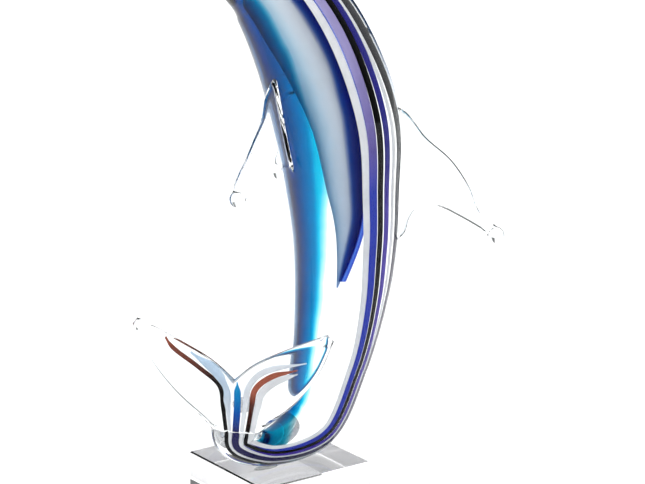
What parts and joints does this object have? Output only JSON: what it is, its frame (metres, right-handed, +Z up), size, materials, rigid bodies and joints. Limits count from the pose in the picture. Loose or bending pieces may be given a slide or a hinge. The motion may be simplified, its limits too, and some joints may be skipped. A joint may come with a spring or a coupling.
{
  "type": "art glass dolphin figurine",
  "caption": "Leaping dolphin in clear cased glass with coloured stripes and a blue core, its tail curled up over a square clear crystal block.",
  "frame": {"origin": "centre of the crystal block's underside", "axes": "+Z up from the block to the dolphin's crown, X and Y along the block's sides; the dolphin is turned on the block"},
  "size_m": [0.1884, 0.1526, 0.363],
  "materials": {
    "crystal": "cut and polished optical crystal",
    "clear_glass": "fire-polished clear soda-lime glass",
    "opal_glass": "pale opal glass, smooth",
    "jacket_glass": "deep cobalt glass, smooth",
    "blue_glass": "transparent turquoise to navy glass, smooth",
    "navy_glass": "dense navy glass, smooth",
    "white_glass": "opaque white glass, smooth",
    "violet_glass": "dense violet glass, smooth",
    "black_glass": "opaque black glass, smooth",
    "cobalt_glass": "dense cobalt glass, smooth",
    "clear_adhesive": "clear cured adhesive"
  },
  "bodies": {
    "root": {"crystal_block": "crystal", "body_casing": "clear_glass", "opal_core": "opal_glass", "cobalt_jacket": "jacket_glass", "belly_streak": "blue_glass", "navy_ridge_cane": "navy_glass", "fine_white_left_cane": "white_glass", "violet_left_cane": "violet_glass", "black_left_cane": "black_glass", "cobalt_left_cane": "cobalt_glass", "broad_white_left_cane": "white_glass", "fine_white_right_cane": "white_glass", "black_right_cane": "black_glass", "cobalt_right_cane": "cobalt_glass", "dorsal_fin": "clear_glass", "left_pectoral_fin": "clear_glass", "right_pectoral_fin": "clear_glass", "tail_flukes": "clear_glass", "navy_ridge_tail_cane": "navy_glass", "fine_white_left_tail_cane": "white_glass", "black_left_tail_cane": "black_glass", "broad_white_left_tail_cane": "white_glass", "fine_white_right_tail_cane": "white_glass", "black_right_tail_cane": "black_glass", "bond_pad": "clear_adhesive"}
  },
  "joints": []
}
